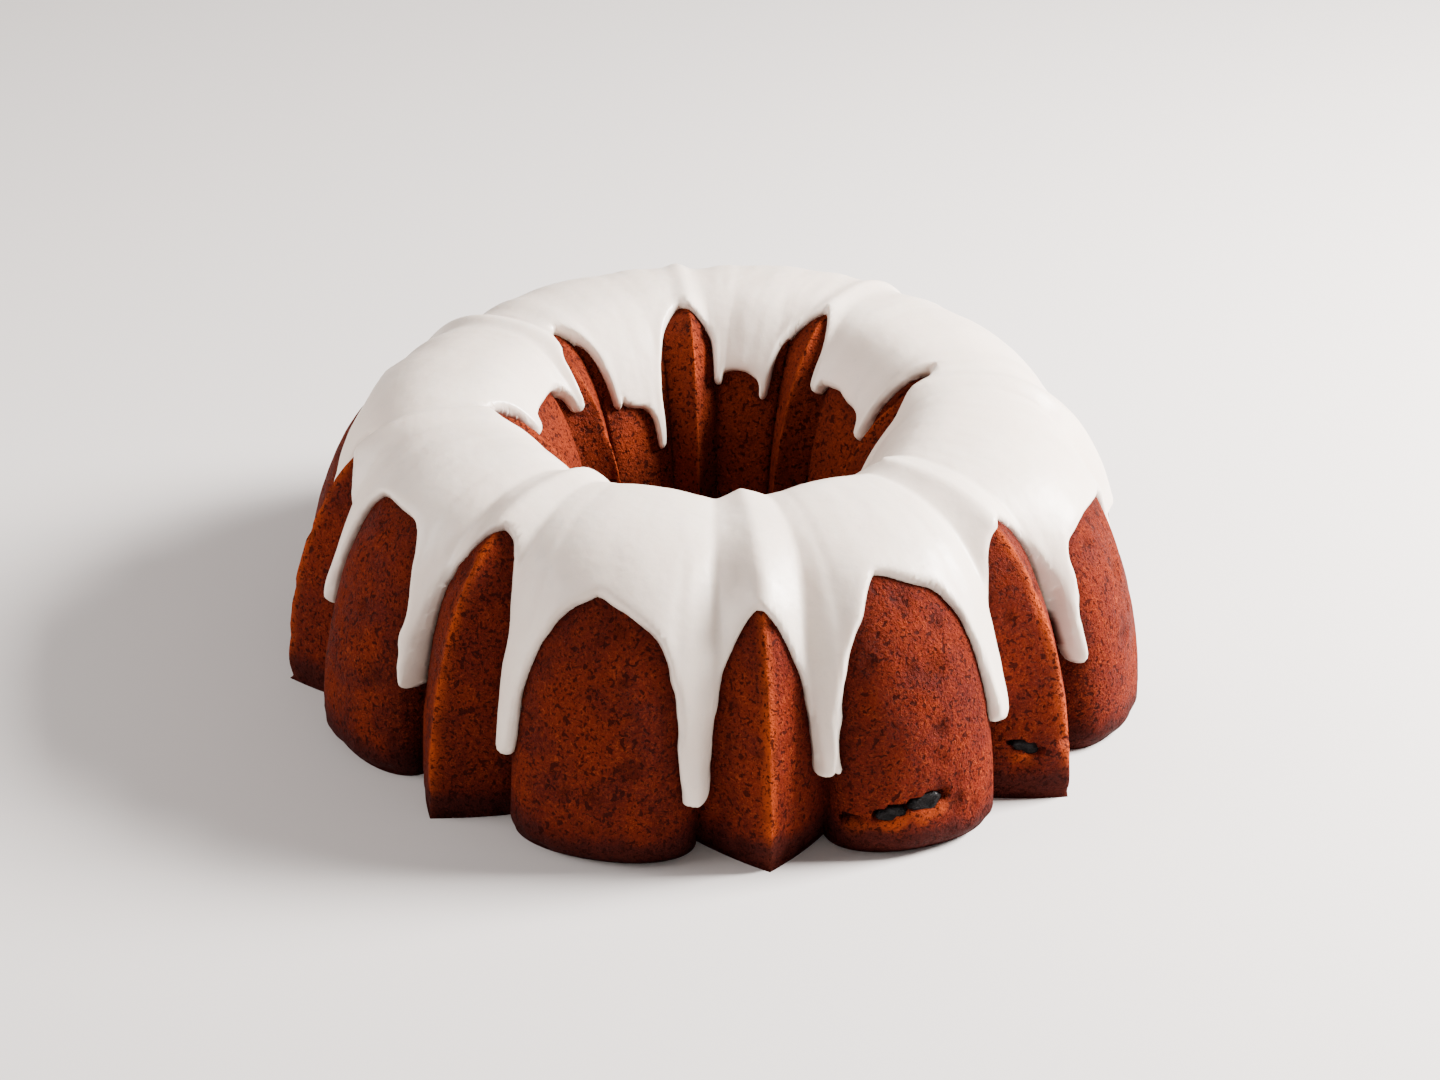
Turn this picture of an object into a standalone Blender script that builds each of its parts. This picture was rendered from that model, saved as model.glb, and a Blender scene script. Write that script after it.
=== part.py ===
"""Glazed ring cake from a fluted tin: a sponge with eight pointed and eight round flutes round a
middle hole, a skin of white icing that runs down the grooves, and burst berries in the crust.

Metres, +Z up. The origin is the middle of the flat base, and a pointed flute faces the front (-Y).
A place on the cake is given by two angles in degrees. "angle" goes round the cake, from the front
towards +X. "turn" goes over the ring: 0 at the outer edge of the base, 90 on the crest and 180 at
the inner edge of the base.
"""
import math
from collections import namedtuple

import bmesh
import bpy
import numpy as np
from mathutils import Matrix, Vector

# The ring's section: radius at the base outside, of the crest and of the hole, height of the
# crest, how square the outer and the inner shoulder are, and how far its foot is drawn in.
Section = namedtuple("Section", "outer crest hole height outer_power inner_power foot")
POINT = Section(0.1325, 0.0740, 0.0300, 0.0870, 2.75, 2.4, 0.0008)
ROUND = Section(0.1340, 0.0740, 0.0370, 0.0865, 2.55, 2.4, 0.0045)
GROOVE = Section(0.1165, 0.0745, 0.0400, 0.0835, 2.50, 2.4, 0.0020)
FOOT_HEIGHT = 0.006

# Flutes round the ring.
FLUTES = 8
PITCH = 360.0 / FLUTES
GROOVE_ANGLE = 9.3
ROUND_POWER = 2.3
FLARE_START = 0.070
FLARE_REACH = 0.060

# How far each pointed flute is turned, reaches and stands against an even ring, and how far each
# round one reaches, from the front round by +X.
POINT_TURN = np.array([0.0, -3.0, 0.0, 5.0, 0.0, 0.0, 3.0, 0.0])
POINT_REACH = np.array([1.0, 1.035, 0.97, 1.0, 1.0, 1.0, 0.99, 0.995])
POINT_HEIGHT = np.array([0.985, 0.98, 0.995, 1.03, 1.015, 0.99, 0.985, 0.985])
ROUND_REACH = np.array([1.0, 1.0, 0.975, 1.0, 1.0, 0.975, 0.97, 1.0])

# Icing: thickness, the gap under it, how thin its edge is against the rest, how far in from the
# edge it reaches its full thickness, and how far it bridges a groove: beside the runs, on the
# shoulder at a turn, and how the one fades into the other.
ICING = 0.0023
GAP = 0.0003
UNDER_GAP = 0.0005
EDGE_SHARE = 0.25
EDGE_ROUND = 0.0028
BRIDGE_ANGLE = 3.0
TOP_BRIDGE_ANGLE = 6.0
BRIDGE_TURN = 78.0
BRIDGE_SPREAD = 35.0
BRIDGE_RISE = 1.15

# Where the icing ends, in degrees of turn above the base: at the run by the groove on the left and
# on the right of each pointed flute, and at the bare top of each pointed and each round flute. The
# shifts are degrees from a groove to its run, and the halves are half the widths of the runs. Then
# come how far each top leans to a side, and how round its left and right shoulders are.
RUN_HALF = 1.9
Edge = namedtuple("Edge", "runs shifts halves bare lean left_power right_power")
OUTER_EDGE = Edge(
    np.array([[11, 16.5], [19, 21], [16, 24], [13, 26], [18, 12], [22, 15], [25, 25], [21, 17]]),
    np.array([[0, -1], [0, 0.6], [0, 0], [0, 0], [0, 0], [0, 0], [-2, 0], [-0.6, 0]]),
    np.array([[1.8, 1.9], [2.1, 1.0], [1.9, 1.9], [1.9, 1.9], [1.9, 1.9], [1.9, 1.9], [1.9, 1.9], [1.2, 1.9]]),
    np.array([[58, 63], [67, 51], [28, 54], [56, 57], [62, 56], [50, 56], [63, 62], [72, 60]]),
    np.array([[0, -0.28], [0.2, 0.3], [0, 0.2], [0.1, -0.2], [0, 0.15], [-0.1, -0.2], [-0.2, 0], [0.15, -0.22]]),
    np.array([[1.5, 1.5], [2.6, 9.0], [1.6, 2.2], [1.5, 3.4], [1.7, 2.4], [1.4, 2.0], [2.4, 7.0], [1.25, 1.7]]),
    np.array([[1.5, 3.6], [1.7, 5.0], [1.8, 3.0], [1.5, 2.2], [1.5, 3.6], [2.0, 2.6], [1.5, 4.4], [2.4, 2.8]]),
)
INNER_EDGE = Edge(
    np.array([[44, 50], [38, 47], [42, 46], [51, 45], [49, 33], [46, 52], [47, 40], [52, 43]]),
    np.array([[0, 3], [-2, 2], [0, 4], [2, 6], [-1, 6], [-5, -4], [-3, 0], [2, -3]]),
    np.full((FLUTES, 2), RUN_HALF),
    np.array([[76, 58], [80, 55], [85, 54], [81, 53], [80, 45], [84, 66], [82, 54], [73, 62]]),
    np.array([[0, 0.2], [0, -0.3], [0.8, 0.6], [-0.4, 0.3], [0, 0], [-0.2, -0.6], [-0.7, 0.1], [0, 0.2]]),
    np.array([[1.5, 2.6], [1.4, 3.2], [1.5, 2.6], [1.6, 2.4], [1.6, 2.6], [1.5, 2.2], [1.5, 2.6], [1.4, 2.4]]),
    np.array([[1.4, 2.4], [1.6, 2.6], [1.5, 1.8], [1.2, 2.8], [1.6, 2.2], [1.5, 2.6], [1.5, 2.8], [1.6, 3.0]]),
)
RUN_END = 2.8
PEAK_SHARE = 0.08
SIDE_SHARE = 0.35
SIDE_POWER = 20

# Rows over the ring and columns in one pitch. The crust and the icing share them, so that their
# facets match.
ICING_ROWS = np.array([4.2, 14, 26, 38, 50, 61, 72, 82, 92, 103, 115, 127, 139, 152])
OUTER_FOOT_ROWS = np.array([0.0, 1.6])
INNER_FOOT_ROWS = np.array([165.0, 175.8, 180.0])
ROUND_COLUMNS = np.array([15.5, 19.0, 22.5, 26.0, 29.5])

# The rings that cut the icing's edges: how deep and how far out they reach from the crust, their
# far corner, and their columns in the half of a flute.
CUT_DEPTH = 0.004
CUT_REACH = 0.012
CUT_CORNER = 0.165
CUT_BELOW = 0.010
CUT_MIDDLE = 0.074
CUT_COLUMNS = np.array([0.0, 0.4, 0.7, 0.9, 1.0])
RUN_COLUMNS = np.array([-0.6, 0.0, 0.6])

# Berries: angle, turn, length, width, depth and slope of the long axis.
Berry = namedtuple("Berry", "angle turn length width depth slope")
BERRIES = (
    Berry(15.9, 9.6, 0.0085, 0.0052, 0.0036, 12.0),
    Berry(20.6, 11.3, 0.0100, 0.0060, 0.0040, 8.0),
    Berry(40.5, 11.6, 0.0085, 0.0050, 0.0034, -20.0),
    Berry(112.0, 24.0, 0.0095, 0.0065, 0.0040, 25.0),
    Berry(201.0, 14.0, 0.0100, 0.0060, 0.0038, -10.0),
    Berry(246.0, 33.0, 0.0080, 0.0058, 0.0036, 35.0),
)
BERRY_SINK = 0.0012
BERRY_SEGMENTS = 8
BERRY_RINGS = 5
STEP = 0.2

CAKE = "lemon_cake"


def clear_scene():
    """Remove whatever the file holds."""
    for thing in list(bpy.data.objects):
        bpy.data.objects.remove(thing, do_unlink=True)
    for group in list(bpy.data.collections):
        bpy.data.collections.remove(group)


def new_collection(name):
    """A collection under the scene's own."""
    group = bpy.data.collections.new(name)
    bpy.context.scene.collection.children.link(group)
    return group


def new_material(name, colour, roughness):
    """A Principled material of one colour."""
    material = bpy.data.materials.new(name)
    material.use_nodes = True
    shader = material.node_tree.nodes["Principled BSDF"]
    shader.inputs["Base Color"].default_value = (*colour, 1.0)
    shader.inputs["Roughness"].default_value = roughness
    shader.inputs["Metallic"].default_value = 0.0
    material.diffuse_color = (*colour, 1.0)
    return material


def between_flutes(values, angle):
    """Ease from the value of one pointed flute to that of the next."""
    place = np.mod(angle / PITCH, FLUTES)
    left = np.floor(place).astype(int) % FLUTES
    share = place - np.floor(place)
    ease = share * share * (3.0 - 2.0 * share)
    return values[left] * (1.0 - ease) + values[(left + 1) % FLUTES] * ease


def flute_shares(angle):
    """How far a place belongs to a pointed flute's edge and to a round flute, 0 in the groove."""
    offset = np.abs(np.mod(angle + PITCH / 2.0, PITCH) - PITCH / 2.0)
    point = np.clip(1.0 - offset / GROOVE_ANGLE, 0.0, 1.0)
    across = np.clip((PITCH / 2.0 - offset) / (PITCH / 2.0 - GROOVE_ANGLE), 0.0, 1.0)
    round_share = (1.0 - across ** ROUND_POWER) ** (1.0 / ROUND_POWER)
    return point, np.where(offset > GROOVE_ANGLE, round_share, 0.0)


def bridged_shares(angle, turn):
    """The same shares where the icing fills the grooves: the mean over some degrees each side.

    The icing fills them more over the top of the ring than where its runs hang.
    """
    top = np.clip(BRIDGE_RISE - np.abs(turn - BRIDGE_TURN) / BRIDGE_SPREAD, 0.0, 1.0)
    reach = BRIDGE_ANGLE + (TOP_BRIDGE_ANGLE - BRIDGE_ANGLE) * top
    shares = [flute_shares(angle + side * reach) for side in np.linspace(-1.0, 1.0, 7)]
    mean = np.mean(shares, axis=0)
    bare = flute_shares(angle)
    return np.maximum(bare[0], mean[0]), np.maximum(bare[1], mean[1])


def section_curve(section, turn):
    """Radius and height on a section: a superellipse quarter outside and another one inside."""
    across = np.cos(np.radians(turn))
    up = np.abs(np.sin(np.radians(turn)))
    power = np.where(across >= 0.0, section.outer_power, section.inner_power)
    half = np.where(across >= 0.0, section.outer - section.crest, section.crest - section.hole)
    height = section.height * up
    foot = section.foot * np.clip(1.0 - height / FOOT_HEIGHT, 0.0, 1.0) ** 2
    radius = section.crest + np.sign(across) * (half * np.abs(across) ** (2.0 / power) - foot)
    return radius, height


def ring_section(angle, turn, shares):
    """Radius and height of the ring where the flutes have the given shares."""
    groove = section_curve(GROOVE, turn)
    point = section_curve(POINT, turn)
    lobe = section_curve(ROUND, turn)
    flute = np.floor(np.mod(angle / PITCH, FLUTES)).astype(int) % FLUTES
    reach = 1.0 + (ROUND_REACH[flute] - 1.0) * np.clip((lobe[0] - FLARE_START) / FLARE_REACH, 0.0, 1.0)
    radius = groove[0] + shares[0] * (point[0] - groove[0]) + shares[1] * (lobe[0] * reach - groove[0])
    height = groove[1] + shares[0] * (point[1] - groove[1]) + shares[1] * (lobe[1] - groove[1])
    flare = np.clip((radius - FLARE_START) / FLARE_REACH, 0.0, 1.0)
    radius = radius * (1.0 + (between_flutes(POINT_REACH, angle) - 1.0) * flare)
    return radius, height * between_flutes(POINT_HEIGHT, angle)


def outward(angle, turn, shares):
    """Outward direction of a section, from the slope between two near turns."""
    before = ring_section(angle, turn - STEP, shares)
    after = ring_section(angle, turn + STEP, shares)
    along = after[0] - before[0]
    rise = after[1] - before[1]
    length = np.maximum(np.hypot(along, rise), 1e-9)
    return rise / length, -along / length


def place(angle, radius, height):
    """Points in space from the radius and the height at an angle."""
    real = np.radians(angle + between_flutes(POINT_TURN, angle))
    return np.stack([radius * np.sin(real), -radius * np.cos(real), height], axis=-1)


def sponge_points(angle, turn):
    """Points on the crust."""
    return place(angle, *ring_section(angle, turn, flute_shares(angle)))


def run_angles(edge):
    """Angles of the grooves, from before the first to past the last, and of the runs beside them."""
    flute = np.arange(-1, FLUTES + 1)
    groove = (flute[:, None] * PITCH + np.array([-GROOVE_ANGLE, GROOVE_ANGLE])).ravel()
    return groove, groove + edge.shifts[flute % FLUTES].ravel()


def edge_turn(angle, edge):
    """Turn at which the icing ends: arches over the bare flutes between runs with round ends.

    Angles are first stretched so that each run, which may hang beside its groove, lies in it. From a
    bare top, which may lean, the edge falls a little in a straight line, then by a power of the way
    to the run's side, and by a much higher one close to it. Across a run it is half an ellipse.
    """
    groove, real = run_angles(edge)
    angle = np.interp(np.mod(angle, 360.0), real, groove)
    pitch_place = np.mod(angle + GROOVE_ANGLE, PITCH) - GROOVE_ANGLE
    flute = np.round((angle - pitch_place) / PITCH).astype(int) % FLUTES
    kind = np.where(pitch_place < GROOVE_ANGLE, 0, 1)
    half = np.where(kind == 0, GROOVE_ANGLE, PITCH / 2.0 - GROOVE_ANGLE)
    offset = pitch_place - kind * PITCH / 2.0
    top_at = edge.lean[flute, kind] * (half - RUN_HALF)
    rightward = offset > top_at
    left_run = np.where(kind == 0, edge.runs[flute, 0], edge.runs[flute, 1])
    right_run = np.where(kind == 0, edge.runs[flute, 1], edge.runs[(flute + 1) % FLUTES, 0])
    run = np.where(rightward, right_run, left_run)
    left_half = np.where(kind == 0, edge.halves[flute, 0], edge.halves[flute, 1])
    right_half = np.where(kind == 0, edge.halves[flute, 1], edge.halves[(flute + 1) % FLUTES, 0])
    run_half = np.where(rightward, right_half, left_half)
    power = np.where(rightward, edge.right_power[flute, kind], edge.left_power[flute, kind])
    reach = half - run_half - np.where(rightward, top_at, -top_at)
    way = np.clip(np.abs(offset - top_at) / reach, 0.0, 1.0)
    curved = 1.0 - PEAK_SHARE - SIDE_SHARE
    fall = PEAK_SHARE * way + curved * way ** power + SIDE_SHARE * way ** SIDE_POWER
    top = edge.bare[flute, kind]
    arch = top - fall * (top - run - RUN_END)
    across = np.clip((half - np.abs(offset)) / run_half, 0.0, 1.0)
    tip = np.where(offset > 0.0, right_run, left_run) + RUN_END * (1.0 - np.sqrt(1.0 - across ** 2))
    return np.where(way < 1.0, arch, tip)


def edge_distance(angle, turn, edge):
    """Rough distance to the icing's edge: the height over it, shortened where the edge is steep."""
    line = edge_turn(angle, edge)
    rise = edge_turn(angle + STEP, edge) - edge_turn(angle - STEP, edge)
    radius, height = ring_section(angle, np.minimum(turn, 90.0), flute_shares(angle))
    metres_a_turn = ROUND.height * math.pi / 180.0
    slope = rise * metres_a_turn / (2.0 * STEP * radius * math.pi / 180.0)
    return np.maximum(turn - line, 0.0) * metres_a_turn / np.sqrt(1.0 + slope ** 2)


def icing_points(angle, turn, skin):
    """Points of the icing: skin 0 lies just off the crust, 1 is the full thickness."""
    bare = flute_shares(angle)
    filled = bridged_shares(angle, turn)
    crust = ring_section(angle, turn, bare)
    off = outward(angle, turn, bare)
    surface = ring_section(angle, turn, filled)
    out = outward(angle, turn, filled)
    radius = crust[0] + UNDER_GAP * off[0]
    height = crust[1] + UNDER_GAP * off[1]
    near = np.minimum(edge_distance(angle, turn, OUTER_EDGE), edge_distance(angle, 180.0 - turn, INNER_EDGE))
    rounded = np.sqrt(1.0 - (1.0 - np.clip(near / EDGE_ROUND, 0.0, 1.0)) ** 2)
    lift = skin * (EDGE_SHARE + (1.0 - EDGE_SHARE) * rounded)
    radius = radius + lift * (surface[0] + (UNDER_GAP + ICING) * out[0] - radius)
    height = height + lift * (surface[1] + (UNDER_GAP + ICING) * out[1] - height)
    return place(angle, radius, height)


def column_angles():
    """Angles of the columns, the same in each pitch."""
    one = np.concatenate(([0.0, 4.0], GROOVE_ANGLE + RUN_HALF * np.array([-1.0, 0.0, 1.0]), ROUND_COLUMNS,
                          PITCH - GROOVE_ANGLE + RUN_HALF * np.array([-1.0, 0.0, 1.0]), [PITCH - 4.0]))
    return (one[None, :] + PITCH * np.arange(FLUTES)[:, None]).ravel()


def ring_object(name, points, material, collection):
    """A torus whose vertices are moved to a grid of points, columns round and rows over the ring."""
    columns, rows = points.shape[:2]
    bpy.ops.mesh.primitive_torus_add(major_segments=columns, minor_segments=rows,
                                     major_radius=1.0, minor_radius=0.5)
    ring = bpy.context.object
    ring.name = name
    mesh = ring.data
    mesh.name = name
    flat = np.empty(len(mesh.vertices) * 3)
    mesh.vertices.foreach_get("co", flat)
    x, y, z = flat.reshape(-1, 3).T
    column = np.round(np.arctan2(y, x) / (2.0 * math.pi) * columns).astype(int) % columns
    row = np.round(np.arctan2(z, np.hypot(x, y) - 1.0) / (2.0 * math.pi) * rows).astype(int) % rows
    mesh.vertices.foreach_set("co", points[column, row].ravel())
    mesh.update()
    split = bmesh.new()
    split.from_mesh(mesh)
    bmesh.ops.triangulate(split, faces=split.faces, quad_method="SHORT_EDGE")
    split.to_mesh(mesh)
    split.free()
    if material:
        mesh.materials.append(material)
    mesh.shade_smooth()
    for group in list(ring.users_collection):
        group.objects.unlink(ring)
    collection.objects.link(ring)
    return ring


def make_sponge(collection):
    """The sponge: crust from the outer to the inner edge, and a flat base back to the start."""
    angle = column_angles()[:, None]
    turn = np.concatenate((OUTER_FOOT_ROWS, ICING_ROWS, INNER_FOOT_ROWS))[None, :]
    crust = sponge_points(angle, turn)
    base = 0.5 * (crust[:, :1] + crust[:, -1:])
    points = np.concatenate((crust, base), axis=1)
    material = new_material("sponge", (0.30, 0.085, 0.028), 0.85)
    return ring_object("sponge", points, material, collection)


def cut_angles(edge):
    """Angles of a cutting ring's columns: close together beside the runs, where the edge is steep."""
    point_half = (GROOVE_ANGLE - RUN_HALF) * CUT_COLUMNS
    round_half = (PITCH / 2.0 - GROOVE_ANGLE - RUN_HALF) * CUT_COLUMNS
    run = GROOVE_ANGLE + RUN_HALF * RUN_COLUMNS
    half = np.concatenate((point_half, run, PITCH / 2.0 - round_half[::-1]))
    one = np.concatenate((half, PITCH - half[-2:0:-1]))
    even = (one[None, :] + PITCH * np.arange(FLUTES)[:, None]).ravel()
    return np.interp(even, *run_angles(edge))


def cutting_ring(name, inside, collection):
    """A ring that holds all below one edge of the icing; its top is a wall square to the crust."""
    edge = INNER_EDGE if inside else OUTER_EDGE
    angle = cut_angles(edge)
    shares = flute_shares(angle)
    turn = edge_turn(angle, edge)
    if inside:
        turn = 180.0 - turn
    far = 0.0 * angle + (CUT_BELOW if inside else CUT_CORNER)
    radius, height = ring_section(angle, turn, shares)
    out = outward(angle, turn, shares)
    floor = 0.0 * angle - CUT_BELOW
    top = place(angle, radius + CUT_REACH * out[0], height + CUT_REACH * out[1])
    root = place(angle, radius - CUT_DEPTH * out[0], height - CUT_DEPTH * out[1])
    corner = place(angle, far, height + CUT_REACH)
    foot = place(angle, far, floor)
    middle = place(angle, 0.0 * angle + CUT_MIDDLE, floor)
    corners = (foot, corner, top, root, middle)
    if inside:
        corners = corners[::-1]
    ring = ring_object(name, np.stack(corners, axis=1), None, collection)
    ring.hide_render = True
    ring.display_type = "WIRE"
    return ring


def make_icing(collection, cutters):
    """The icing: a skin with its under side just off the crust, cut along its two edges."""
    angle = column_angles()[:, None]
    turn = ICING_ROWS[None, :]
    skin = icing_points(angle, turn, 1.0)
    under = icing_points(angle, turn[:, ::-1], 0.0)
    material = new_material("icing", (0.80, 0.78, 0.75), 0.45)
    icing = ring_object("icing", np.concatenate((skin, under), axis=1), material, collection)
    for name, inside in (("outer_edge", False), ("inner_edge", True)):
        cut = icing.modifiers.new(name, "BOOLEAN")
        cut.operation = "DIFFERENCE"
        cut.object = cutting_ring(name, inside, cutters)
        cut.solver = "EXACT"


def berry_matrix(berry):
    """Place of a berry: long axis along the crust, depth along the crust's normal."""
    middle, right, above = (
        Vector(sponge_points(np.array(berry.angle + side), np.array(berry.turn + up)))
        for side, up in ((0.0, 0.0), (STEP, 0.0), (0.0, STEP)))
    along = (right - middle).normalized()
    normal = along.cross(above - middle).normalized()
    upward = normal.cross(along)
    turned = Matrix.Rotation(math.radians(berry.slope), 3, "Z")
    axes = Matrix((along, upward, normal)).transposed() @ turned
    return Matrix.Translation(middle - normal * BERRY_SINK) @ axes.to_4x4()


def berry_object(name, berry, margin, material, collection):
    """A squashed round body, its surface waved a little as a burst skin is."""
    mesh = bpy.data.meshes.new(name)
    ball = bmesh.new()
    bmesh.ops.create_uvsphere(ball, u_segments=BERRY_SEGMENTS, v_segments=BERRY_RINGS, radius=0.5)
    size = Vector((berry.length, berry.width, berry.depth))
    for vertex in ball.verts:
        wave = 1.0 + 0.10 * math.sin(9.0 * vertex.co.x + berry.angle) * math.cos(7.0 * vertex.co.y)
        vertex.co = Vector(vertex.co[i] * (size[i] * wave + 2.0 * margin) for i in range(3))
    ball.to_mesh(mesh)
    ball.free()
    mesh.shade_smooth()
    if material:
        mesh.materials.append(material)
    body = bpy.data.objects.new(name, mesh)
    body.matrix_world = berry_matrix(berry)
    collection.objects.link(body)
    return body


def make_berries(sponge, collection, pockets):
    """The berries in pockets of the crust, with the usual gap round them."""
    material = new_material("berry", (0.020, 0.014, 0.022), 0.35)
    for number, berry in enumerate(BERRIES, start=1):
        berry_object(f"berry_{number}", berry, 0.0, material, collection)
        pocket = berry_object(f"pocket_{number}", berry, GAP, None, pockets)
        pocket.hide_render = True
        pocket.display_type = "WIRE"
    cut = sponge.modifiers.new("pockets", "BOOLEAN")
    cut.operation = "DIFFERENCE"
    cut.operand_type = "COLLECTION"
    cut.collection = pockets
    cut.solver = "EXACT"


def main():
    """Build the cake."""
    clear_scene()
    cake = new_collection(CAKE)
    sponge = make_sponge(cake)
    make_icing(cake, new_collection("edge cutters"))
    make_berries(sponge, cake, new_collection("pocket cutters"))


main()
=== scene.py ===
"""Looks of the iced ring cake: baked crust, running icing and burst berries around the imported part.

Metres, +Z up. A place on the cake is given by two angles in degrees: "angle" goes round it from the
front (-Y) towards +X, and "turn" goes over the ring, 0 at the outer edge of the base, 90 on the
crest and 180 at the inner edge of the base.
"""
import math
from collections import namedtuple

import bpy
import numpy as np
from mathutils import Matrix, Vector


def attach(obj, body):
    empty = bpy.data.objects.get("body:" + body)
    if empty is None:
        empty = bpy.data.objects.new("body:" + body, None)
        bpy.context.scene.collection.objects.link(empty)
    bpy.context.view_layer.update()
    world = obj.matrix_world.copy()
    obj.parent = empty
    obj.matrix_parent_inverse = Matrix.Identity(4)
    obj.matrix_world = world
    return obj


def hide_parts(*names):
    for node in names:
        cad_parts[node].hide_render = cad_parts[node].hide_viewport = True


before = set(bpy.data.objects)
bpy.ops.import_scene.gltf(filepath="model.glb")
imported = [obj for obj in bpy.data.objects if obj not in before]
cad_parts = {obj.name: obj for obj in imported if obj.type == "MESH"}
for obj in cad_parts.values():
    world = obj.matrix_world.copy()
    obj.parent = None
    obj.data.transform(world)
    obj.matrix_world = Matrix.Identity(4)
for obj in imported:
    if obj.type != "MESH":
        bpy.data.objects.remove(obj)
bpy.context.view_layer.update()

# The ring's form, as in the part's solids.
Section = namedtuple("Section", "outer crest hole height outer_power inner_power foot")
POINT = Section(0.1325, 0.0740, 0.0300, 0.0870, 2.75, 2.4, 0.0008)
ROUND = Section(0.1340, 0.0740, 0.0370, 0.0865, 2.55, 2.4, 0.0045)
GROOVE = Section(0.1165, 0.0745, 0.0400, 0.0835, 2.50, 2.4, 0.0020)
FOOT_HEIGHT = 0.006
FLUTES = 8
PITCH = 360.0 / FLUTES
GROOVE_ANGLE = 9.3
ROUND_POWER = 2.3
FLARE_START = 0.070
FLARE_REACH = 0.060
POINT_TURN = np.array([0.0, -3.0, 0.0, 5.0, 0.0, 0.0, 3.0, 0.0])
POINT_REACH = np.array([1.0, 1.035, 0.97, 1.0, 1.0, 1.0, 0.99, 0.995])
POINT_HEIGHT = np.array([0.985, 0.98, 0.995, 1.03, 1.015, 0.99, 0.985, 0.985])
ROUND_REACH = np.array([1.0, 1.0, 0.975, 1.0, 1.0, 0.975, 0.97, 1.0])
STEP = 0.2
FINE_STEPS = 2000
MM = 0.001
CELL_PRIMES = (73856093, 19349663, 83492791)
SEED_PRIME = 2654435
MIX_PRIME = 1274126177

# The icing's edges, each with a row for a pointed flute and the round flute after it: where the two
# runs beside the pointed flute end, how far they hang beside their grooves and half how wide they
# are, then how high both flutes are bare under the icing, how far that bare top leans to a side,
# how straight it is and how round its two shoulders are. The runs end close to where the solids'
# do, and the rest is fitted to the photograph.
RUN_HALF = 1.9
Edge = namedtuple("Edge", "runs shifts halves bare lean peaks left_power right_power")
OUTER_EDGE = Edge(
    runs=np.array([[11, 16.5], [20.5, 21], [16, 24], [13, 26], [18, 12], [22, 15], [25, 25], [21, 17]]),
    shifts=np.array([[0, -1], [0, 0.9], [0, 0], [0, 0], [0, 0], [0, 0], [0, 0], [-0.6, 0]]),
    halves=np.array([[1.8, 1.9], [2.4, 0.8], [1.9, 1.9], [1.9, 1.9],
                     [1.9, 1.9], [1.9, 1.9], [0.9, 1.9], [1.3, 1.9]]),
    bare=np.array([[58, 63], [67, 52], [28, 54], [56, 57], [62, 56], [50, 62], [63, 61], [72, 60]]),
    lean=np.array([[0, -0.28], [0.2, -0.4], [0, 0.2], [0.1, -0.2],
                   [0, 0.15], [-0.1, -0.2], [-0.2, 0.2], [0.15, -0.16]]),
    peaks=np.array([[8, 18], [8, 8], [8, 8], [8, 8], [8, 8], [8, 8], [8, 2], [8, 26]]) / 100.0,
    left_power=np.array([[1.5, 1.5], [2.6, 9.0], [1.6, 2.2], [1.5, 3.4],
                         [1.7, 2.4], [1.4, 2.0], [8.0, 7.0], [1.25, 2.2]]),
    right_power=np.array([[1.5, 5.0], [1.7, 5.0], [1.8, 3.0], [1.5, 2.2],
                          [1.5, 3.6], [2.0, 4.0], [1.5, 3.8], [2.4, 6.0]]),
)
INNER_EDGE = Edge(
    runs=np.array([[44, 50], [38, 47], [42, 46], [51, 45], [49, 33], [46, 53], [57, 40], [52, 43]]),
    shifts=np.array([[0, 3], [-2, 2], [0, 4], [2, 6], [-1, 6], [-5, -4], [-3, 0], [2, -3]]),
    halves=np.full((FLUTES, 2), RUN_HALF),
    bare=np.array([[76, 58], [80, 55], [85, 54], [81, 53], [80, 45], [84, 62], [84.5, 54], [73, 62]]),
    lean=np.array([[0, 0.2], [0, -0.3], [0.8, 0.6], [-0.4, 0.3],
                   [0, 0], [-0.2, -0.6], [-0.3, 0.1], [0, 0.2]]),
    peaks=np.full((FLUTES, 2), 0.08),
    left_power=np.array([[1.5, 2.6], [1.4, 3.2], [1.5, 2.6], [1.6, 2.4],
                         [1.6, 2.6], [1.5, 2.2], [1.5, 2.6], [1.4, 2.4]]),
    right_power=np.array([[1.4, 2.4], [1.6, 2.6], [1.5, 1.8], [1.2, 2.8],
                          [1.6, 2.2], [1.5, 2.6], [3.5, 2.8], [1.6, 3.0]]),
)
RUN_END = 2.8
SIDE_SHARE = 0.35
SIDE_POWER = 20

# How the icing's edge is measured, in degrees and mm: how far to the sides it is sampled and how
# often, at which turn a degree's width is taken, and between which turns neither edge is near.
GAP_REACH = 7.0
GAP_STEP = 0.14
GAP_TURN = 25.0
FAR_GAP = 40.0
OUTER_END = 86.0
INNER_START = 90.0

# How the edge wavers: degrees of angle and of turn, and metres between its waves.
EDGE_WAVER_ANGLE = 0.35
EDGE_WAVER_TURN = 0.9
EDGE_WAVER_SIZE = 0.011
EDGE_RAG_ANGLE = 0.16
EDGE_RAG_TURN = 0.45
EDGE_RAG_SIZE = 0.0045

# The crust's grid: columns in half a pointed and half a round flute, the turn at which they are
# even, metres between rows outside and in the hole, and the turns between which the icing hides it.
POINT_COLUMNS = 21
LOBE_COLUMNS = 30
COLUMN_TURN = 20.0
CRUST_ROW = 0.00140
INNER_ROW = 0.0021
HIDDEN_START = 70.0
HIDDEN_END = 98.0
HIDDEN_STEP = 4.0
BASE_ROWS = 3

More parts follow.
